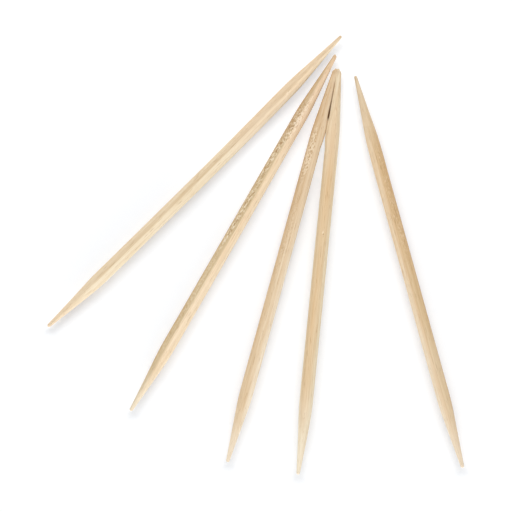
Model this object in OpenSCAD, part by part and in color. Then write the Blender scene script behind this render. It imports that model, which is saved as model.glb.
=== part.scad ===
// Five loose, round, double-pointed wooden toothpicks lying flat in a fan.
// Each pick is one turned stick: a straight shank, a rounded shoulder, a ground cone and a blunt tip
// at both ends. All five have that same form, the far right one is cut a little shorter, and all lie
// on the plane z = 0.
// Bearings are plan angles from +X, from a pick's lower tip to its upper tip.

/* [Pick] */
// Length of a pick from tip to tip
pick_length = 65; // [55:0.5:85]
// Diameter of the straight shank
shank_d = 2.1; // [1.8:0.05:3]
// Diameter of the ball that rounds the blunt tip
tip_d = 0.55; // [0.3:0.05:0.9]
// Angle between the ground cone and the pick's axis
point_angle = 4.4; // [3.6:0.1:6.5]
// Radius of the shoulder that runs the cone into the shank
shoulder_r = 45; // [15:1:60]

/* [Touching pair] */
// Bearing of the line midway between the middle and the right pick
pair_bearing = 79.7; // [70:0.1:90]
// Angle between the middle and the right pick
pair_spread = 9.3; // [6:0.1:14]
// Clear space where the middle and the right pick come closest
pair_gap = 0.05; // [0.05:0.05:0.5]

/* [Left side of the fan] */
// Angle between the middle and the left pick
left_spread = 14.1; // [13.2:0.1:20]
// How far the left pick's tip reaches past the middle pick's tip ball
left_lead = 2.2; // [1:0.1:4]
// Clear space between the middle pick's tip and the left pick's side
left_gap = 0.3; // [0.1:0.05:2]
// Angle between the left and the far left pick
far_left_spread = 15.2; // [13.2:0.1:24]
// How far the far left pick's tip reaches past the left pick's tip ball
far_left_lead = 3; // [1:0.1:5]
// Clear space between the left pick's tip and the far left pick's side
far_left_gap = 0.4; // [0.1:0.05:2]

/* [Right side of the fan] */
// Angle between the right and the far right pick
far_right_spread = 20.3; // [14:0.1:30]
// How far the far right pick's tip ball lies short of the right pick's tip
far_right_lag = 1.2; // [0.5:0.1:5]
// Clear space between the far right pick's tip and the right pick's side
far_right_gap = 1.9; // [0.1:0.05:5]
// How much shorter than the others the far right pick was cut
far_right_short = 0.5; // [0:0.1:3]

/* [Hidden] */
$fn = 96;
// Overlap that joins the parts of a section, far below any size that can be made
hair = 0.0002;

shank_r = shank_d / 2;
tip_r = tip_d / 2;

// The cone leaves the tip ball and enters the shoulder arc without a crease at either end
cone_start = tip_r * (1 - sin(point_angle));
cone_start_r = tip_r * cos(point_angle);
cone_end_r = shank_r - shoulder_r * (1 - cos(point_angle));
cone_end = cone_start + (cone_end_r - cone_start_r) / tan(point_angle);
shoulder_length = shoulder_r * sin(point_angle);
point_length = cone_end + shoulder_length;
far_right_length = pick_length - far_right_short;

// Bearings step outwards from the touching pair
middle_bearing = pair_bearing - pair_spread / 2;
right_bearing = pair_bearing + pair_spread / 2;
left_bearing = middle_bearing - left_spread;
far_left_bearing = left_bearing - far_left_spread;
far_right_bearing = right_bearing + far_right_spread;

// Plan directions of a pick: towards its upper tip, and square to that on its right
function ahead(bearing) = [cos(bearing), sin(bearing)];
function right_of(bearing) = [sin(bearing), -cos(bearing)];

// Reach of a pick's outline past its own upper tip's axis point, square to a line that the pick
// leaves at the given angle. The tip ball reaches furthest on a wide angle, and the shoulder arc
// on an angle narrower than the ground cone.
function reach(angle) =
    angle >= point_angle
    ? tip_r * (1 - sin(angle))
    : shoulder_r + (shank_r - shoulder_r) * cos(angle) - point_length * sin(angle);

// Distance from a pick's axis to a neighbour's tip ball that lies beside its cone, with a clear gap
function beside_cone(from_tip, gap) =
    (2 * tip_r + gap + (from_tip - tip_r) * sin(point_angle)) / cos(point_angle);

// Centre of the tip ball at a pick's upper tip
function ball_centre(upper_tip, bearing) = upper_tip - tip_r * ahead(bearing);

// Upper tips, worked out from the point where the touching pair meets
pair_offset = reach(pair_spread / 2) + pair_gap / 2;
middle_tip = -pair_offset * right_of(pair_bearing);
right_tip = pair_offset * right_of(pair_bearing);
left_tip = ball_centre(middle_tip, middle_bearing)
    + left_lead * ahead(left_bearing)
    - beside_cone(left_lead, left_gap) * right_of(left_bearing);
far_left_tip = ball_centre(left_tip, left_bearing)
    + far_left_lead * ahead(far_left_bearing)
    - beside_cone(far_left_lead, far_left_gap) * right_of(far_left_bearing);
far_right_tip = right_tip
    - far_right_lag * ahead(right_bearing)
    + beside_cone(far_right_lag, far_right_gap) * right_of(right_bearing)
    + tip_r * ahead(far_right_bearing);

// The origin lies under the middle of the fan's footprint
places = [
    [far_left_tip, far_left_bearing, pick_length],
    [left_tip, left_bearing, pick_length],
    [middle_tip, middle_bearing, pick_length],
    [right_tip, right_bearing, pick_length],
    [far_right_tip, far_right_bearing, far_right_length]
];
balls = [
    for (place = places)
        for (run = [tip_r, place[2] - tip_r])
            place[0] - run * ahead(place[1])
];
function middle_of(values) = (min(values) + max(values)) / 2;
fan_centre = [middle_of([for (ball = balls) ball.x]), middle_of([for (ball = balls) ball.y])];

// Half section of one pointed end: its tip at the origin, the axis on Y, radius along X.
// The tip ball and the shoulder stand a hair proud of the cone, so that the three always join.
module point_section() {
    intersection() {
        translate([0, tip_r]) circle(tip_r);
        square([tip_r, tip_d]);
    }
    polygon([
        [0, cone_start],
        [cone_start_r - hair, cone_start],
        [cone_end_r - hair, cone_end],
        [0, cone_end]
    ]);
    intersection() {
        translate([shank_r - shoulder_r + hair, point_length]) circle(shoulder_r);
        translate([0, cone_start]) square([shank_r, 2 * point_length]);
    }
}

// One whole pick, standing on its tip along +Z
module pick(length) {
    rotate_extrude() {
        point_section();
        translate([0, point_length]) square([shank_r, length - 2 * point_length]);
        translate([0, length]) mirror([0, 1]) point_section();
    }
}

// A pick laid flat on the plane z = 0, with its upper tip at a plan point
module laid_pick(upper_tip, bearing, length) {
    translate([upper_tip.x - fan_centre.x, upper_tip.y - fan_centre.y, shank_r])
        rotate([0, 90, bearing + 180])
            pick(length);
}

module far_left_pick() {
    color([0.93, 0.85, 0.72]) laid_pick(far_left_tip, far_left_bearing, pick_length);
}

module left_pick() {
    color([0.91, 0.81, 0.67]) laid_pick(left_tip, left_bearing, pick_length);
}

module middle_pick() {
    color([0.89, 0.80, 0.66]) laid_pick(middle_tip, middle_bearing, pick_length);
}

module right_pick() {
    color([0.88, 0.78, 0.62]) laid_pick(right_tip, right_bearing, pick_length);
}

module far_right_pick() {
    color([0.87, 0.76, 0.61]) laid_pick(far_right_tip, far_right_bearing, far_right_length);
}

far_left_pick();
left_pick();
middle_pick();
right_pick();
far_right_pick();
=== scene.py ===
import math

import bpy
import numpy as np
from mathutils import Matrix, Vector


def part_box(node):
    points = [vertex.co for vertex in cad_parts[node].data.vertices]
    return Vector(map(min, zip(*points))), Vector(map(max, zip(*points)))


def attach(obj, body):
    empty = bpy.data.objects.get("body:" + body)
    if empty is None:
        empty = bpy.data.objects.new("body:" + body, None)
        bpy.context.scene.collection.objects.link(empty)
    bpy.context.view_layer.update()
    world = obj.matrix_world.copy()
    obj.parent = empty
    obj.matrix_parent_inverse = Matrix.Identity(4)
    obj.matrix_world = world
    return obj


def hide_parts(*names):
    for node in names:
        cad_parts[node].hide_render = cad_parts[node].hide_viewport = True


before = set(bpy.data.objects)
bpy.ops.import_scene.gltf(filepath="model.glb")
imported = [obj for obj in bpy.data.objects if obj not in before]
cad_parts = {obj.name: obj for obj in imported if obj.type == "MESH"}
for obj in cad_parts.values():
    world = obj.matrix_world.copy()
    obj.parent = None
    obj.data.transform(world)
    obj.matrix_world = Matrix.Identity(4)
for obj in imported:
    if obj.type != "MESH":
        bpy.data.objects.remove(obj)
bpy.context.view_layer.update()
print("frame loaded,", len(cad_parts), "picks")

millimetre = 0.001
plainWhite = (1, 1, 1, 1)
scene = bpy.context.scene
scene.view_settings.view_transform = "Standard"


# Small helpers for colours and shader nodes

def paint(red, green, blue):
    # a screen colour, 0 to 255, as the linear colour that a shader takes
    share = np.array([red, green, blue]) / 255
    linear = np.where(share <= 0.04045, share / 12.92, ((share + 0.055) / 1.055) ** 2.4)
    return (*linear.tolist(), 1.0)


def place(tree, kind, inputs, **options):
    # adds a node, sets its options, links or sets each input, and gives back its outputs
    made = tree.nodes.new(kind)
    for name, value in options.items():
        setattr(made, name, value)
    for key, value in inputs.items():
        if isinstance(value, bpy.types.NodeSocket):
            tree.links.new(value, made.inputs[key])
        else:
            made.inputs[key].default_value = value
    return made.outputs


def reckon(tree, operation, first, second=0.0):
    return place(tree, "ShaderNodeMath", {0: first, 1: second}, operation=operation)[0]


def ramp(tree, value, low, high):
    # 0 below low, 1 above high, and an eased climb between them
    return place(tree, "ShaderNodeMapRange", {"Value": value, "From Min": low, "From Max": high},
                 interpolation_type="SMOOTHSTEP")[0]


def fall(tree, value, low, high):
    # the other way round: 1 below low and 0 above high
    return reckon(tree, "SUBTRACT", 1.0, ramp(tree, value, low, high))


def mixColours(tree, share, first, second, blend="MIX"):
    return place(tree, "ShaderNodeMix", {0: share, 6: first, 7: second},
                 data_type="RGBA", blend_type=blend)[2]


def stain(tree, colour, mask, show, tint):
    # multiplies a colour by a tint, as strongly as the mask times its show
    return mixColours(tree, reckon(tree, "MULTIPLY", mask, show), colour, paint(*tint), "MULTIPLY")


def stretch(tree, position, along, across):
    # squeezes the pattern space, so that a round pattern runs out into long grain on X
    return place(tree, "ShaderNodeVectorMath", {0: position, 1: (along, across, across)},
                 operation="MULTIPLY")[0]


def startGroup(name, inputs, outputs):
    # an empty node group with named sockets, and its two end nodes
    group = bpy.data.node_groups.new(name, "ShaderNodeTree")
    for socketName, kind in inputs:
        group.interface.new_socket(socketName, in_out="INPUT", socket_type=kind)
    for socketName, kind in outputs:
        group.interface.new_socket(socketName, in_out="OUTPUT", socket_type=kind)
    return group, group.nodes.new("NodeGroupInput").outputs, group.nodes.new("NodeGroupOutput").inputs


# Grain that all five picks share, in millimetres along (X) and across (Y, Z) one pick.
# A squeeze is how many cells of noise go to a millimetre, along and across, and a band is the noise at which
# the effect starts and at which it is full.
grain = {
    "Streaks": {"squeeze": (0.035, 1.7), "detail": 3.0, "roughness": 0.5, "band": (0.32, 0.68)},
    "Fibres": {"squeeze": (0.18, 7.0), "detail": 4.0, "roughness": 0.6, "band": (0.3, 0.7)},
    "Pores": {"squeeze": (0.5, 9.0), "detail": 1.0, "roughness": 0.5, "band": (0.64, 0.72)},
}
growth = {
    "bend": 0.05,                  # how round the layers are
    "waverSqueeze": (0.03, 0.4),
    "waverDetail": 2.0,
    "waver": 0.9,                  # how far a layer strays
    "lateSharpness": 4.0,          # power that keeps the late wood to the end of each ring
}


def makeFibres():
    # long streaks, fine fibres and short dark pores: noise squeezed across the grain
    group, given, out = startGroup(
        "birchFibres",
        [("Position", "NodeSocketVector"), ("Seed", "NodeSocketFloat")],
        [(name, "NodeSocketFloat") for name in grain])
    seed = given["Seed"]
    shift = place(group, "ShaderNodeCombineXYZ", {0: seed, 1: seed, 2: seed})[0]
    spot = place(group, "ShaderNodeVectorMath", {0: given["Position"], 1: shift}, operation="ADD")[0]
    for name, pattern in grain.items():
        noise = place(group, "ShaderNodeTexNoise",
                      {"Vector": stretch(group, spot, *pattern["squeeze"]), "Scale": 1.0,
                       "Detail": pattern["detail"], "Roughness": pattern["roughness"]})[0]
        group.links.new(ramp(group, noise, *pattern["band"]), out[name])
    return group


def makeRings():
    # growth layers: distance across the layers, bent and wavered, cut into saw teeth of one ring each
    group, given, out = startGroup(
        "birchRings",
        [("Position", "NodeSocketVector"), ("Turn", "NodeSocketFloat"), ("Width", "NodeSocketFloat"),
         ("Seed", "NodeSocketFloat")],
        [("Late Wood", "NodeSocketFloat"), ("Depth", "NodeSocketFloat")])
    turned = place(group, "ShaderNodeVectorRotate", {"Vector": given["Position"], "Angle": given["Turn"]},
                   rotation_type="X_AXIS")[0]
    axes = place(group, "ShaderNodeSeparateXYZ", {0: turned})
    drift = place(group, "ShaderNodeVectorMath",
                  {0: stretch(group, turned, *growth["waverSqueeze"]), 1: given["Seed"]}, operation="ADD")[0]
    noise = place(group, "ShaderNodeTexNoise",
                  {"Vector": drift, "Scale": 1.0, "Detail": growth["waverDetail"]})[0]
    waver = reckon(group, "MULTIPLY", reckon(group, "SUBTRACT", noise, 0.5), growth["waver"])
    bend = reckon(group, "MULTIPLY", reckon(group, "POWER", axes[2], 2.0), growth["bend"])
    depth = reckon(group, "ADD", reckon(group, "ADD", axes[1], bend), waver)
    tooth = reckon(group, "FRACT", reckon(group, "DIVIDE", depth, given["Width"]))
    group.links.new(reckon(group, "POWER", tooth, growth["lateSharpness"]), out["Late Wood"])
    group.links.new(depth, out["Depth"])
    return group


fibreGroup = makeFibres()
ringGroup = makeRings()
print("wood groups made")


# The wood of one pick. A show is the strength of an effect, and colours are screen colours.
birch = {
    "ringShow": 0.3, "streakShow": 0.35,
    "fibreTint": (225, 208, 180), "fibreShow": 0.4,
    "poreTint": (190, 160, 120), "poreShow": 0.5,
    "tornBand": (0.05, 0.8),       # torn mark at which a pit or a lifted fibre starts to show, and is full
    # partly painted shade: pits are darkened in colour as well as sunk into the mesh
    "pitShadeTint": (186, 154, 108), "pitShow": 0.75,
    "liftedTint": (252, 241, 219), "liftedShow": 0.65,
    # painted shade: the dark brown line down in the groove where two picks touch, shown only while the other
    # pick is near
    "creaseShadeTint": (126, 88, 14),
    "creaseReach": 0.7,            # millimetres, how far round a spot of the groove looks for the other pick
    "creaseSamples": 8,
    "creaseBand": (0.6, 0.9),      # openness up to which the groove is dark, and from which it isn't
    "soiledTint": (196, 172, 132), "soiledShow": 0.25,
    "soiledRun": (0.1, 1.6),       # millimetres from the upper tip, fully soiled and clean
    "roughness": 0.5, "fibreRoughness": 0.14,
    "poreDepth": 1.5,              # a pore against the fibres' height
    "bumpStrength": 0.5,
    "bumpHeight": 0.01,            # millimetres
    "ior": 1.45,
}


def grainSpace(tree, pick, middle, bearing, halfLength):
    # millimetres along and across the pick, and the runs from both tips; the grain follows a bent end, so the
    # mesh's own bend is taken off: it grows towards the tip, with the square of the share of its length
    coordinate = place(tree, "ShaderNodeTexCoord", {})["Object"]
    position = place(tree, "ShaderNodeMapping",
                     {"Vector": coordinate, "Location": middle, "Rotation": (0, 0, bearing),
                      "Scale": (millimetre,) * 3}, vector_type="TEXTURE")[0]
    along = place(tree, "ShaderNodeSeparateXYZ", {0: position})[0]
    fromLower = reckon(tree, "ADD", along, halfLength)
    fromUpper = reckon(tree, "SUBTRACT", halfLength, along)
    for fromTip, end in ((fromLower, pick["lowerEnd"]), (fromUpper, pick["upperEnd"])):
        toTip = reckon(tree, "DIVIDE", fromTip, end["bendReach"])
        share = reckon(tree, "MAXIMUM", reckon(tree, "SUBTRACT", 1.0, toTip))
        bent = reckon(tree, "MULTIPLY", reckon(tree, "MULTIPLY", share, share), end["bend"])
        shift = place(tree, "ShaderNodeCombineXYZ", {1: bent})[0]
        position = place(tree, "ShaderNodeVectorMath", {0: position, 1: shift}, operation="SUBTRACT")[0]
    return position, fromLower, fromUpper


def tornColour(tree, colour):
    # pits are darker, partly painted shade in them, and lifted fibres paler than the wood round them
    torn = place(tree, "ShaderNodeAttribute", {}, attribute_name="torn")["Fac"]
    pits = ramp(tree, torn, *birch["tornBand"])
    lifted = ramp(tree, reckon(tree, "MULTIPLY", torn, -1.0), *birch["tornBand"])
    colour = stain(tree, colour, pits, birch["pitShow"], birch["pitShadeTint"])
    liftedShare = reckon(tree, "MULTIPLY", lifted, birch["liftedShow"])
    return mixColours(tree, liftedShare, colour, paint(*birch["liftedTint"]))


def paintedGrooveShade(tree, colour):
    # painted shade: the groove is darkened only while the other pick lies close by
    crease = place(tree, "ShaderNodeAttribute", {}, attribute_name="crease")["Fac"]
    openness = place(tree, "ShaderNodeAmbientOcclusion", {"Distance": birch["creaseReach"] * millimetre},
                     samples=birch["creaseSamples"])["AO"]
    return stain(tree, colour, crease, fall(tree, openness, *birch["creaseBand"]), birch["creaseShadeTint"])


def runColour(tree, colour, pick, shadedHeart, fromLower, fromUpper):
    # what changes along a pick: a deeper tint from some run on, pale stretches, and a soiled upper tip
    deeper = ramp(tree, fromLower, *pick["deeperFrom"])
    colour = mixColours(tree, deeper, colour, paint(*pick["deeperTint"]), "MULTIPLY")
    for pale in pick["pale"]:
        fromMiddle = reckon(tree, "ABSOLUTE", reckon(tree, "SUBTRACT", fromLower, pale["run"]))
        near = fall(tree, fromMiddle, 0.0, pale["halfRun"])
        onShadedHeart = reckon(tree, "MULTIPLY", shadedHeart, pale["shadedHeartShare"] - pale["litSapShare"])
        share = reckon(tree, "ADD", onShadedHeart, pale["litSapShare"])
        colour = mixColours(tree, reckon(tree, "MULTIPLY", near, share), colour, paint(*pale["tint"]))
    soiled = fall(tree, fromUpper, *birch["soiledRun"])
    return stain(tree, colour, soiled, birch["soiledShow"], birch["soiledTint"])


def makeBirch(pick, middle, bearing, halfLength):
    # sapwood into heartwood, partly real two-tone wood and partly painted light and shade, then every effect
    # over it; fibres roughen it, and fibres less pores are its bump
    material = bpy.data.materials.new(pick["name"] + "Birch")
    material.use_nodes = True
    tree = material.node_tree
    tree.nodes.clear()
    position, fromLower, fromUpper = grainSpace(tree, pick, middle, bearing, halfLength)
    fibres = place(tree, "ShaderNodeGroup", {"Position": position, "Seed": pick["seed"]},
                   node_tree=fibreGroup)
    rings = place(tree, "ShaderNodeGroup",
                  {"Position": position, "Turn": math.radians(pick["ringTurn"]), "Width": pick["ringWidth"],
                   "Seed": pick["seed"]}, node_tree=ringGroup)

    # painted light and shade as well as wood: the shaded heartwood lies on the side of the pick that shows
    # darker under the light, the lit sapwood on the lighter side
    shadedHeart = ramp(tree, rings["Depth"], pick["shadedHeartEdge"] - pick["shadedHeartFade"],
                 pick["shadedHeartEdge"] + pick["shadedHeartFade"])
    colour = mixColours(tree, shadedHeart, paint(*pick["litSapwood"]), paint(*pick["shadedHeartwood"]))
    colour = stain(tree, colour, rings["Late Wood"], birch["ringShow"], pick["lateTint"])
    colour = stain(tree, colour, fibres["Streaks"], birch["streakShow"], pick["streakTint"])
    colour = stain(tree, colour, fibres["Fibres"], birch["fibreShow"], birch["fibreTint"])
    colour = stain(tree, colour, fibres["Pores"], birch["poreShow"], birch["poreTint"])
    colour = tornColour(tree, colour)
    if pick["contact"]:
        colour = paintedGrooveShade(tree, colour)
    colour = runColour(tree, colour, pick, shadedHeart, fromLower, fromUpper)

    fuzz = reckon(tree, "MULTIPLY", fibres["Fibres"], birch["fibreRoughness"])
    rough = reckon(tree, "ADD", fuzz, birch["roughness"])
    holes = reckon(tree, "MULTIPLY", fibres["Pores"], birch["poreDepth"])
    height = reckon(tree, "SUBTRACT", fibres["Fibres"], holes)
    bump = place(tree, "ShaderNodeBump",
                 {"Strength": birch["bumpStrength"], "Distance": birch["bumpHeight"] * millimetre,
                  "Height": height})[0]
    surface = place(tree, "ShaderNodeBsdfPrincipled",
                    {"Base Color": colour, "Roughness": rough, "Normal": bump, "IOR": birch["ior"]})[0]
    place(tree, "ShaderNodeOutputMaterial", {"Surface": surface})
    return material


# The shape of every pick, in millimetres and degrees. Cells are how many cells of noise go to a whole pick,
# along it and round it.
pickShape = {
    "tipRadius": 0.275,        # ball that rounds the blunt tip
    "coneAngle": 4.4,          # ground cone against the axis
    "shoulderRadius": 45.0,    # arc that runs the cone into the shank
    "slimReach": 14.0,         # length over which a slimmer end is drawn in
    "pegLength": 1.8,          # round end of a blunter tip, in its own radii
    "columns": 128,            # grid points round the pick
    "tipRows": 10,             # grid rows on a tip ball
    "rowGap": 0.09,            # grid rows on the rest, apart along the axis
    "flatDepth": 0.012,        # turned, not quite round
    "flatShare": 0.6,          # three flats against two
    "driftCells": (6, 1),      # how the flats turn along the pick
    "ridgeDepth": 0.007,       # long fibres that stand out
    "ridgeCells": (9, 60),
    "shortRidgeCells": (26, 43),
    "shortRidgeShare": 0.7,
    "tornDepth": 0.02,         # pits where the cutter tore the grain
    "liftedShare": 0.25,       # height of a lifted fibre against the depth of a pit
    "tornRim": 1.3,            # where a torn patch has died out, as the square of its half sizes
    "fleckCells": (320, 64),   # flecks that a torn patch is made of
    "longFleckCells": (180, 80),
    "longFleckShare": 0.6,
    "fleckContrast": 1.5,
    "endWear": 0.05,           # uneven end of a blunt tip
    "endCells": (1, 7),
    "wornReach": 3.0,          # length over which an end is worn aslant
}

# Where two picks lie against each other, in millimetres from the upper tip and degrees
touching = {
    "distance": 0.276,         # of the flat from a pick's axis at the upper tip
    "opening": 4.65,           # angle at which the flat leaves the axis
    "end": 13.0,               # run at which a pick is round again
    "fade": 3.0,               # length over which it gets so
    "past": 1.03,              # how far the side is widened, against the flat's distance, before it is cut
    "tipPast": 0.3,            # more of it at the tip
    "tipReach": 2.6,           # run at which that is gone
    # painted shade in the groove: runs along it, how dark it is at each, and how far up the side it goes
    "creaseRuns": (1.6, 2.4, 5.1, 6.4, 7.2, 8.1, 8.6, 9.5),
    "creaseShades": (0, 0.25, 0.4, 0.7, 1, 1, 0.1, 0),    # how dark the groove is at each of those runs
    "creaseTurn": 36,          # how far up the side it is dark
    "creaseEdge": 4,           # the last of that, over which it ends
}


def pickProfile(run, shankRadius, blunt):
    # radius against the run from a tip: ball, then cone, then a tangent arc, then the shank; a blunter end
    # adds a short round-ended peg, where that is the thicker one, and a slimmer end is drawn in
    ball = pickShape["tipRadius"]
    slope = math.radians(pickShape["coneAngle"])
    arc = pickShape["shoulderRadius"]
    coneStart = ball * (1 - math.sin(slope))
    coneStartRadius = ball * math.cos(slope)
    coneEndRadius = shankRadius - arc * (1 - math.cos(slope))
    coneEnd = coneStart + (coneEndRadius - coneStartRadius) / math.tan(slope)
    pointEnd = coneEnd + arc * math.sin(slope)
    onBall = np.sqrt(np.clip(ball ** 2 - (ball - run) ** 2, 0, None))
    onCone = coneStartRadius + (run - coneStart) * math.tan(slope)
    onArc = shankRadius - arc + np.sqrt(arc ** 2 - np.clip(pointEnd - run, 0, arc) ** 2)
    stretches = [run < coneStart, run < coneEnd, run < pointEnd]
    onPeg = blunt * np.sqrt(1 - np.clip(1 - run / (pickShape["pegLength"] * blunt), 0, 1) ** 2)
    slim = 1 + (np.minimum(blunt / ball, 1) - 1) * np.clip(1 - run / pickShape["slimReach"], 0, 1)
    return np.maximum(np.select(stretches, [onBall, onCone, onArc], shankRadius) * slim, onPeg)


def grainNoise(rng, along, around, alongCells, aroundCells):
    # smooth random field: lattice numbers from -1 to 1 joined by eased steps, closed round the pick
    lattice = rng.uniform(-1, 1, (alongCells + 2, aroundCells))
    row, column = along * alongCells, around * aroundCells
    rowStart, columnStart = np.floor(row).astype(int), np.floor(column).astype(int)
    rowEase, columnEase = row - rowStart, column - columnStart
    rowEase = rowEase ** 2 * (3 - 2 * rowEase)
    columnEase = columnEase ** 2 * (3 - 2 * columnEase)
    left, right = columnStart % aroundCells, (columnStart + 1) % aroundCells
    before = lattice[rowStart, left] * (1 - columnEase) + lattice[rowStart, right] * columnEase
    after = lattice[rowStart + 1, left] * (1 - columnEase) + lattice[rowStart + 1, right] * columnEase
    return before * (1 - rowEase) + after * rowEase


def turnFrom(angle, turn):
    # degrees from a turn to an angle, the short way round
    return (np.degrees(angle) - turn + 180) % 360 - 180


def turnedRelief(rng, angle, along, around):
    # two and three flats round the pick, which drift along it, and long and short ridges of noise; both lie
    # between nothing and their depth below the true surface
    drift = grainNoise(rng, along, np.zeros_like(around), *pickShape["driftCells"])
    flatShare = pickShape["flatShare"]
    flats = np.cos(2 * angle + 2 * drift) + flatShare * np.cos(3 * angle - 3 * drift) - (1 + flatShare)
    ridges = grainNoise(rng, along, around, *pickShape["ridgeCells"])
    shortShare = pickShape["shortRidgeShare"]
    ridges += shortShare * grainNoise(rng, along, around, *pickShape["shortRidgeCells"]) - (1 + shortShare)
    relief = pickShape["flatDepth"] * flats / (2 * (1 + flatShare))
    return relief + pickShape["ridgeDepth"] * ridges / (2 * (1 + shortShare))


def tornField(rng, pick, run, angle, along, around):
    # patches of torn grain: a soft oval for each, times short flecks; pits plus, lifted fibres minus
    torn = np.zeros_like(along)
    flecks = grainNoise(rng, along, around, *pickShape["fleckCells"])
    flecks += pickShape["longFleckShare"] * grainNoise(rng, along, around, *pickShape["longFleckCells"])
    flecks *= pickShape["fleckContrast"]
    for patch in pick["torn"]:
        alongPatch = (run - patch["run"]) / patch["halfRun"]
        roundPatch = turnFrom(angle, patch["turn"]) / patch["halfTurn"]
        oval = np.clip(pickShape["tornRim"] - alongPatch ** 2 - roundPatch ** 2, 0, 1)
        torn += patch["strength"] * oval * np.clip(flecks + patch["pits"], -1, 1)
    return np.clip(torn, -1, 1)


def wornRun(rng, pick, run, angle, length, along, around):
    # both ends are worn back, unevenly on the tip ball, and aslant from what the left and the right side lost
    lower, upper = pick["lowerEnd"], pick["upperEnd"]
    onLower = run < length / 2
    nearTip = np.where(onLower, run, length - run)
    uneven = pickShape["endWear"] * (1 + grainNoise(rng, along, around, *pickShape["endCells"])) / 2
    loss = uneven * np.clip(1 - nearTip / (2 * pickShape["tipRadius"]), 0, 1)
    leftShare = (1 + np.cos(angle)) / 2
    wornLeft = np.where(onLower, lower["wornLeft"], upper["wornLeft"])
    wornRight = np.where(onLower, lower["wornRight"], upper["wornRight"])
    aslant = wornLeft * leftShare + wornRight * (1 - leftShare)
    loss += aslant * np.clip(1 - nearTip / pickShape["wornReach"], 0, 1)
    return run + loss * np.where(onLower, 1, -1)


def pressAgainst(aside, angle, fromUpperTip, side):
    # where two picks lie against each other: the facing half is widened past a plane beside the axis, which
    # leaves the axis at a small angle, and is cut flat there; the widening is stronger at the tip and fades.
    # The crease is painted shade, a dark line down in the groove: its strength at that run, down to 0 some
    # way up the side
    towards, sideTurn = (1, 0) if side == "left" else (-1, 180)
    reach = touching["distance"] + fromUpperTip * math.tan(math.radians(touching["opening"]))
    facing = towards * aside
    widest = facing.max(axis=1, keepdims=True)
    fade = np.clip((touching["end"] - fromUpperTip) / touching["fade"], 0, 1)
    past = touching["past"] + touching["tipPast"] * np.clip(touching["tipReach"] - fromUpperTip, 0, 1)
    wanted = widest + fade * (past * reach - widest)
    pressed = np.where(facing > 0, np.minimum(facing * wanted / widest, reach), facing)
    upTheSide = np.abs(turnFrom(angle, sideTurn))
    shade = np.interp(fromUpperTip, touching["creaseRuns"], touching["creaseShades"])
    crease = shade * np.clip((touching["creaseTurn"] - upTheSide) / touching["creaseEdge"], 0, 1)
    return towards * pressed, crease


def measurePick(pick):
    # the CAD pick's box gives its middle and shank; less a tip ball on each side, the box's plan diagonal
    # gives the bearing and the length, and the sign of x times y tells which diagonal it is
    low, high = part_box(pick["node"])
    middle = (low + high) / 2
    half = (high - low) / 2 / millimetre
    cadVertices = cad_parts[pick["node"]].data.vertices
    points = np.empty(len(cadVertices) * 3)
    cadVertices.foreach_get("co", points)
    spread = points.reshape(-1, 3) - np.array(middle)
    lean = np.sign(np.sum(spread[:, 0] * spread[:, 1]))
    ball = pickShape["tipRadius"]
    bearing = math.atan2(half.y - ball, lean * (half.x - ball))
    length = 2 * (math.hypot(half.x - ball, half.y - ball) + ball)
    return middle, bearing, length, half.z


def gridRuns(length):
    # runs of the grid rows from the lower tip: even turns on both tip balls, even steps between them
    ball = pickShape["tipRadius"]
    tipTurn = np.linspace(0, math.pi / 2, pickShape["tipRows"] + 1)[1:]
    tipRuns = ball * (1 - np.cos(tipTurn))
    straightRows = int(round((length - 2 * ball) / pickShape["rowGap"]))
    straightRuns = np.linspace(ball, length - ball, straightRows + 1)[1:-1]
    return np.concatenate([tipRuns, straightRuns, (length - tipRuns)[::-1]])


def layDown(fromMiddle, aside, rise, bearing):
    # places along, left of and above a pick's middle as plan X, plan Y and height
    aheadX, aheadY = math.cos(bearing), math.sin(bearing)
    planX = aheadX * fromMiddle - aheadY * aside
    planY = aheadY * fromMiddle + aheadX * aside
    return np.stack([planX, planY, rise], axis=-1)


def buildMesh(name, vertices, rows, columns, marks):
    # quads between neighbouring rows, closed round the pick, and a fan of triangles to the pole at each end
    index = np.arange(rows * columns).reshape(rows, columns)
    nextColumn = np.roll(index, -1, axis=1)
    lowerPole, upperPole = np.full(columns, rows * columns), np.full(columns, rows * columns + 1)
    quads = np.stack([index[:-1], nextColumn[:-1], nextColumn[1:], index[1:]], axis=-1).reshape(-1, 4)
    lowerFan = np.stack([nextColumn[0], index[0], lowerPole], axis=-1)
    upperFan = np.stack([index[-1], nextColumn[-1], upperPole], axis=-1)
    mesh = bpy.data.meshes.new(name)
    mesh.from_pydata(vertices.tolist(), [], quads.tolist() + lowerFan.tolist() + upperFan.tolist())
    mesh.polygons.foreach_set("use_smooth", np.ones(len(mesh.polygons), bool))
    for markName, mark in marks.items():
        attribute = mesh.attributes.new(markName, "FLOAT", "POINT")
        attribute.data.foreach_set("value", np.append(mark.ravel(), [0, 0]).astype(np.float32))
    mesh.update()
    return mesh


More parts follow.
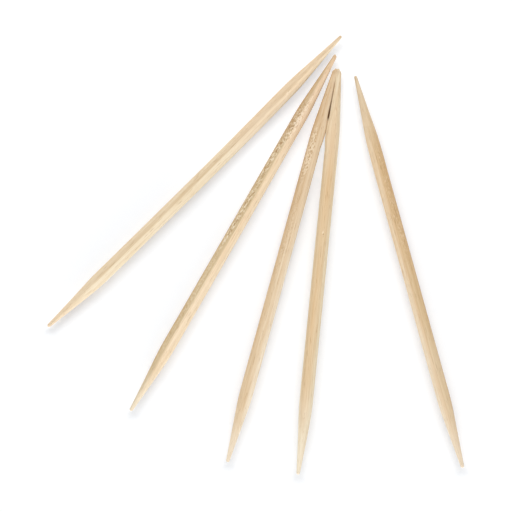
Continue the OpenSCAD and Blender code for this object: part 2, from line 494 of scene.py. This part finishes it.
def makePick(pick):
    # a grid carried along the axis: rows along the pick, columns round it, radius from the profile and relief
    middle, bearing, length, shankRadius = measurePick(pick)
    lower, upper = pick["lowerEnd"], pick["upperEnd"]
    angles = np.arange(pickShape["columns"]) * 2 * math.pi / pickShape["columns"]
    run, angle = np.meshgrid(gridRuns(length), angles, indexing="ij")
    along, around = run / length, angle / (2 * math.pi)
    rng = np.random.default_rng(pick["seed"])

    onLower = run < length / 2
    nearTip = np.where(onLower, run, length - run)
    radius = pickProfile(nearTip, shankRadius, np.where(onLower, lower["radius"], upper["radius"]))
    bent = lower["bend"] * np.clip(1 - run / lower["bendReach"], 0, 1) ** 2
    bent += upper["bend"] * np.clip(1 - (length - run) / upper["bendReach"], 0, 1) ** 2
    relief = turnedRelief(rng, angle, along, around)
    torn = tornField(rng, pick, run, angle, along, around)
    relief -= pickShape["tornDepth"] * np.clip(torn, -pickShape["liftedShare"], 1)
    radius = radius * (1 + np.minimum(relief, 0) / shankRadius)
    run = wornRun(rng, pick, run, angle, length, along, around)

    aside = bent + radius * np.cos(angle)
    crease = np.zeros_like(aside)
    if pick["contact"]:
        aside, crease = pressAgainst(aside, angle, length - run, pick["contact"])
    grid = layDown(run - length / 2, aside, radius * np.sin(angle), bearing)
    lowerPole = (pickShape["endWear"] + lower["wornLeft"] + lower["wornRight"] - length) / 2
    upperPole = (length - pickShape["endWear"] - upper["wornLeft"] - upper["wornRight"]) / 2
    poles = layDown(np.array([lowerPole, upperPole]), np.array([lower["bend"], upper["bend"]]),
                    np.zeros(2), bearing)
    vertices = np.concatenate([grid.reshape(-1, 3), poles]) * millimetre + np.array(middle)

    mesh = buildMesh(pick["name"], vertices, *run.shape, {"torn": torn, "crease": crease})
    made = bpy.data.objects.new(pick["name"], mesh)
    scene.collection.objects.link(made)
    mesh.materials.append(makeBirch(pick, tuple(middle), bearing, length / 2))
    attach(made, pick["body"])
    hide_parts(pick["node"])
    print(pick["name"], "made, bearing", round(math.degrees(bearing), 2), "length", round(length, 2))


# Sizes are millimetres, runs are counted from the lower tip, and turns are degrees about the pick's axis from
# its left side.
# An end has the radius of its blunt tip, its bend to the left and the length of that, and what is worn off
# its left and its right side (minus: it is longer).
# A contact is the side on which another pick lies.
# Heartwood starts at its edge across the growth layers and fades in on both sides of it; it is partly painted
# shade, set on the side of the pick that shows darker under the light, and the sapwood is partly painted
# light on the side that shows lighter.
# A pale stretch has its share of pale on the lit sapwood and on the shaded heartwood.
# The deeper tint comes in between two runs.
# A torn patch has more pits (plus) or more lifted fibres (minus).
paleWood = (250, 240, 222)
farLeftPick = {
    "name": "farLeftPick", "node": "far_left_pick", "body": "far_left", "seed": 11,
    "lowerEnd": {"radius": 0.275, "bend": 0.4, "bendReach": 16, "wornLeft": 0, "wornRight": 0},
    "upperEnd": {"radius": 0.24, "bend": 0.51, "bendReach": 36, "wornLeft": 0, "wornRight": 0},
    "contact": None,
    "litSapwood": (247, 235, 211), "shadedHeartwood": (226, 208, 179), "shadedHeartEdge": -0.14, "shadedHeartFade": 0.22,
    "ringTurn": 0, "ringWidth": 1.3, "lateTint": (226, 206, 172), "streakTint": (232, 214, 184),
    "pale": [
        {"run": 0, "halfRun": 12, "litSapShare": 0.45, "shadedHeartShare": 0.45, "tint": (230, 205, 175)},
        # painted light: the next two stretches work on the right sapwood flank only, by the upper tip where
        # the neighbouring pick shades it; the upper one paints it lighter
        {"run": 57, "halfRun": 9, "litSapShare": 0.55, "shadedHeartShare": 0, "tint": (243, 218, 183)},
        {"run": 64, "halfRun": 8, "litSapShare": 0.6, "shadedHeartShare": 0, "tint": (252, 236, 206)},
    ],
    "deeperTint": (255, 251, 250), "deeperFrom": (38, 44),
    "torn": [
        {"run": 40, "turn": 60, "halfRun": 14, "halfTurn": 30, "strength": 0.25, "pits": 0},
        {"run": 52.5, "turn": 112, "halfRun": 0.5, "halfTurn": 9, "strength": 1, "pits": -1.2},
    ],
}
leftPick = {
    "name": "leftPick", "node": "left_pick", "body": "left", "seed": 23,
    "lowerEnd": {"radius": 0.275, "bend": 0.12, "bendReach": 10, "wornLeft": -0.15, "wornRight": -0.15},
    "upperEnd": {"radius": 0.32, "bend": 0.09, "bendReach": 60, "wornLeft": 0, "wornRight": 0.15},
    "contact": None,
    "litSapwood": (250, 233, 206), "shadedHeartwood": (209, 188, 151), "shadedHeartEdge": 0.06, "shadedHeartFade": 0.18,
    "ringTurn": 0, "ringWidth": 1.1, "lateTint": (222, 198, 160), "streakTint": (230, 208, 174),
    "pale": [
        {"run": 0, "halfRun": 10, "litSapShare": 0.4, "shadedHeartShare": 0.4, "tint": (232, 226, 207)},
    ],
    "deeperTint": (248, 241, 238), "deeperFrom": (44, 54),
    "torn": [
        {"run": 20, "turn": 55, "halfRun": 14, "halfTurn": 35, "strength": 0.35, "pits": 0},
        {"run": 38, "turn": 55, "halfRun": 9, "halfTurn": 40, "strength": 0.6, "pits": 0.05},
        {"run": 50, "turn": 58, "halfRun": 7, "halfTurn": 38, "strength": 0.65, "pits": 0.05},
        {"run": 53, "turn": 103, "halfRun": 5, "halfTurn": 25, "strength": 0.7, "pits": -0.6},
    ],
}
middlePick = {
    "name": "middlePick", "node": "middle_pick", "body": "middle", "seed": 37,
    "lowerEnd": {"radius": 0.275, "bend": 0, "bendReach": 10, "wornLeft": 0, "wornRight": 0},
    "upperEnd": {"radius": 0.31, "bend": 0.1, "bendReach": 30, "wornLeft": 0.4, "wornRight": 0.02},
    "contact": "right",
    "litSapwood": (252, 240, 219), "shadedHeartwood": (225, 203, 170), "shadedHeartEdge": -0.2, "shadedHeartFade": 0.75,
    "ringTurn": 0, "ringWidth": 1.4, "lateTint": (222, 200, 164), "streakTint": (230, 208, 174),
    "pale": [
        {"run": 0, "halfRun": 11, "litSapShare": 0.42, "shadedHeartShare": 0.42, "tint": paleWood},
    ],
    "deeperTint": (240, 232, 222), "deeperFrom": (26, 50),
    "torn": [
        {"run": 50.5, "turn": 66, "halfRun": 5, "halfTurn": 40, "strength": 0.8, "pits": -0.5},
        {"run": 51.1, "turn": 84, "halfRun": 0.4, "halfTurn": 7, "strength": 1, "pits": -1.2},
        {"run": 37, "turn": 70, "halfRun": 9, "halfTurn": 45, "strength": 0.3, "pits": -0.1},
    ],
}
rightPick = {
    "name": "rightPick", "node": "right_pick", "body": "right", "seed": 41,
    "lowerEnd": {"radius": 0.275, "bend": 0.15, "bendReach": 9, "wornLeft": 0, "wornRight": 0},
    "upperEnd": {"radius": 0.33, "bend": -0.05, "bendReach": 30, "wornLeft": 0, "wornRight": 0.4},
    "contact": "left",
    "litSapwood": (237, 225, 198), "shadedHeartwood": (225, 197, 157), "shadedHeartEdge": 0.78, "shadedHeartFade": 0.35,
    "ringTurn": -90, "ringWidth": 0.8, "lateTint": (220, 194, 154), "streakTint": (230, 206, 168),
    "pale": [
        {"run": 0, "halfRun": 12, "litSapShare": 0.45, "shadedHeartShare": 0.45, "tint": paleWood},
        {"run": 10, "halfRun": 5, "litSapShare": 0.2, "shadedHeartShare": 0.2, "tint": paleWood},
        {"run": 54, "halfRun": 9, "litSapShare": 0.17, "shadedHeartShare": 0.17, "tint": paleWood},
    ],
    "deeperTint": (249, 244, 241), "deeperFrom": (58, 62),
    "torn": [
        {"run": 37.8, "turn": 95, "halfRun": 0.35, "halfTurn": 5, "strength": 0.9, "pits": 0.9},
        {"run": 38.2, "turn": 90, "halfRun": 0.35, "halfTurn": 5, "strength": 0.8, "pits": -0.9},
    ],
}
farRightPick = {
    "name": "farRightPick", "node": "far_right_pick", "body": "far_right", "seed": 53,
    "lowerEnd": {"radius": 0.275, "bend": 0, "bendReach": 10, "wornLeft": 0, "wornRight": 0},
    "upperEnd": {"radius": 0.23, "bend": -0.13, "bendReach": 20, "wornLeft": 0, "wornRight": 0},
    "contact": None,
    "litSapwood": (240, 222, 195), "shadedHeartwood": (213, 187, 147), "shadedHeartEdge": -0.25, "shadedHeartFade": 0.7,
    "ringTurn": 180, "ringWidth": 1.2, "lateTint": (220, 194, 154), "streakTint": (230, 206, 168),
    "pale": [
        {"run": 0, "halfRun": 14, "litSapShare": 0.5, "shadedHeartShare": 0.5, "tint": paleWood},
        {"run": 16, "halfRun": 9, "litSapShare": 0.24, "shadedHeartShare": 0.24, "tint": (238, 224, 200)},
        {"run": 63, "halfRun": 14, "litSapShare": 0.43, "shadedHeartShare": 0.43, "tint": (226, 214, 190)},
    ],
    "deeperTint": (254, 251, 247), "deeperFrom": (28, 36),
    "torn": [
        {"run": 43, "turn": 115, "halfRun": 13, "halfTurn": 40, "strength": 0.3, "pits": 0},
    ],
}
for pick in (farLeftPick, leftPick, middlePick, rightPick, farRightPick):
    makePick(pick)


# White floor that keeps the contact shadow, and the same white all round. Lengths are metres.
studio = {
    "floorSide": 6.0,
    "floorBounce": (0.92, 0.92, 0.92, 1),     # how much light the floor gives back to the wood
    "floorShade": (0.865, 0.835, 0.80, 1),    # seen directly: colour that takes the shadow
    "openGlow": (0.13, 0.175, 0.23, 1),       # seen directly: what stays, so that the open floor is white
    "gapGlow": (0.55, 0.53, 0.49, 1),         # more of it in the narrow gaps between picks
    "gapReach": 0.003,                        # how far round a spot of floor looks for walls
    "gapSamples": 16,
    "gapBand": (0.0, 0.5),                    # openness with all of that glow, and with none
    "gatherGlow": 0.12,                       # more of it where the picks gather and shade each other
    "gatherSpot": (0.002, 0.024, 0),
    "gatherReach": (0.004, 0.022),            # from that spot, full and none
    "domeLight": 0.43,                        # light from all round, where 1 shows a white thing as white
}


def seenDirectly(tree):
    # 1 for the camera's own rays and for mirror and clear rays, 0 for the light that the wood gathers
    path = place(tree, "ShaderNodeLightPath", {})
    shiny = reckon(tree, "MAXIMUM", path["Is Glossy Ray"], path["Is Transmission Ray"])
    return reckon(tree, "MAXIMUM", path["Is Camera Ray"], shiny)


def floorGlow(tree):
    # the even glow of the open floor, with more in narrow gaps and more where the picks gather
    openness = place(tree, "ShaderNodeAmbientOcclusion", {"Distance": studio["gapReach"]},
                     samples=studio["gapSamples"])["AO"]
    inGap = fall(tree, openness, *studio["gapBand"])
    coordinate = place(tree, "ShaderNodeTexCoord", {})["Object"]
    fromSpot = place(tree, "ShaderNodeVectorMath", {0: coordinate, 1: studio["gatherSpot"]},
                     operation="DISTANCE")["Value"]
    gathered = fall(tree, fromSpot, *studio["gatherReach"])
    gatherShare = reckon(tree, "MULTIPLY", gathered, studio["gatherGlow"])
    glow = place(tree, "ShaderNodeEmission", {"Color": studio["openGlow"], "Strength": 1.0})[0]
    for colour, strength in ((studio["gapGlow"], inGap), (plainWhite, gatherShare)):
        more = place(tree, "ShaderNodeEmission", {"Color": colour, "Strength": strength})[0]
        glow = place(tree, "ShaderNodeAddShader", {0: glow, 1: more})[0]
    return glow


def makeFloor():
    side = studio["floorSide"] / 2
    corners = [(-side, -side, 0), (side, -side, 0), (side, side, 0), (-side, side, 0)]
    mesh = bpy.data.meshes.new("studioFloor")
    mesh.from_pydata(corners, [], [(0, 1, 2, 3)])
    floor = bpy.data.objects.new("studioFloor", mesh)
    scene.collection.objects.link(floor)
    material = bpy.data.materials.new("floorWhite")
    material.use_nodes = True
    tree = material.node_tree
    tree.nodes.clear()
    bounce = place(tree, "ShaderNodeBsdfDiffuse", {"Color": studio["floorBounce"]})[0]
    shade = place(tree, "ShaderNodeBsdfDiffuse", {"Color": studio["floorShade"]})[0]
    shown = place(tree, "ShaderNodeAddShader", {0: shade, 1: floorGlow(tree)})[0]
    surface = place(tree, "ShaderNodeMixShader", {0: seenDirectly(tree), 1: bounce, 2: shown})[0]
    place(tree, "ShaderNodeOutputMaterial", {"Surface": surface})
    mesh.materials.append(material)


def makeSurround():
    world = bpy.data.worlds.new("studioWhite")
    scene.world = world
    world.use_nodes = True
    tree = world.node_tree
    tree.nodes.clear()
    soft = place(tree, "ShaderNodeBackground", {"Color": plainWhite, "Strength": studio["domeLight"]})[0]
    white = place(tree, "ShaderNodeBackground", {"Color": plainWhite, "Strength": 1.0})[0]
    surface = place(tree, "ShaderNodeMixShader", {0: seenDirectly(tree), 1: soft, 2: white})[0]
    place(tree, "ShaderNodeOutputWorld", {"Surface": surface})


# Lamps are soft boxes, in metres and degrees; level is the share of white that each gives a white floor
softBoxes = [
    {"name": "boxBack", "azimuth": 180, "elevation": 46, "distance": 0.9,
     "wide": 1.3, "high": 0.6, "level": 0.52},
    {"name": "boxFront", "azimuth": 0, "elevation": 9, "distance": 0.9,
     "wide": 1.2, "high": 0.24, "level": 0.115},
]
boxSteps = 24    # spots across and up a box's face that its light is averaged over


def aroundOrigin(azimuth, elevation, distance):
    # azimuth 0 is the photographer's side, counted towards +X
    turn, tilt = math.radians(azimuth), math.radians(elevation)
    towards = Vector((math.sin(turn) * math.cos(tilt), -math.cos(turn) * math.cos(tilt), math.sin(tilt)))
    return distance * towards


def floorShare(box, middle, turned):
    # what one watt of the box gives a white floor at the origin: each spot of its face by the two slants over
    # the distance squared, averaged
    steps = (np.arange(boxSteps) + 0.5) / boxSteps - 0.5
    across, up = np.meshgrid(steps * box["wide"], steps * box["high"])
    sideways, upwards, backwards = (np.array(axis) for axis in turned.col)
    spots = np.array(middle) + across[..., None] * sideways + up[..., None] * upwards
    far = np.linalg.norm(spots, axis=-1)
    leaving = spots @ backwards / far
    landing = spots[..., 2] / far
    return np.mean(leaving * landing / far ** 2) / math.pi ** 2


def makeSoftBox(box):
    lamp = bpy.data.lights.new(box["name"], "AREA")
    lamp.shape = "RECTANGLE"
    lamp.size, lamp.size_y = box["wide"], box["high"]
    made = bpy.data.objects.new(box["name"], lamp)
    made.location = aroundOrigin(box["azimuth"], box["elevation"], box["distance"])
    made.rotation_mode = "QUATERNION"
    made.rotation_quaternion = (-made.location).to_track_quat("-Z", "Y")
    made.visible_camera = False
    lamp.energy = box["level"] / floorShare(box, made.location, made.rotation_quaternion.to_matrix())
    scene.collection.objects.link(made)


# Camera, in metres and degrees; the sensor's width is millimetres
photoView = {
    "azimuth": 0, "elevation": 75, "distance": 1.0,
    "pixelsAcross": 512, "pixelsPerMillimetre": 6.484, "sensor": 36.0,
    "nearest": 0.05, "farthest": 50,
}


def makeCamera():
    # the lens that shows one millimetre at the origin as that many pixels
    lens = bpy.data.cameras.new("photoCamera")
    focalPixels = photoView["pixelsPerMillimetre"] * photoView["distance"] / millimetre
    lens.sensor_width = photoView["sensor"]
    lens.lens = photoView["sensor"] * focalPixels / photoView["pixelsAcross"]
    lens.clip_start, lens.clip_end = photoView["nearest"], photoView["farthest"]
    camera = bpy.data.objects.new("photoCamera", lens)
    camera.location = aroundOrigin(photoView["azimuth"], photoView["elevation"], photoView["distance"])
    camera.rotation_mode = "QUATERNION"
    camera.rotation_quaternion = (-camera.location).to_track_quat("-Z", "Y")
    scene.collection.objects.link(camera)
    scene.camera = camera


makeFloor()
makeSurround()
for box in softBoxes:
    makeSoftBox(box)
makeCamera()
print("studio made")
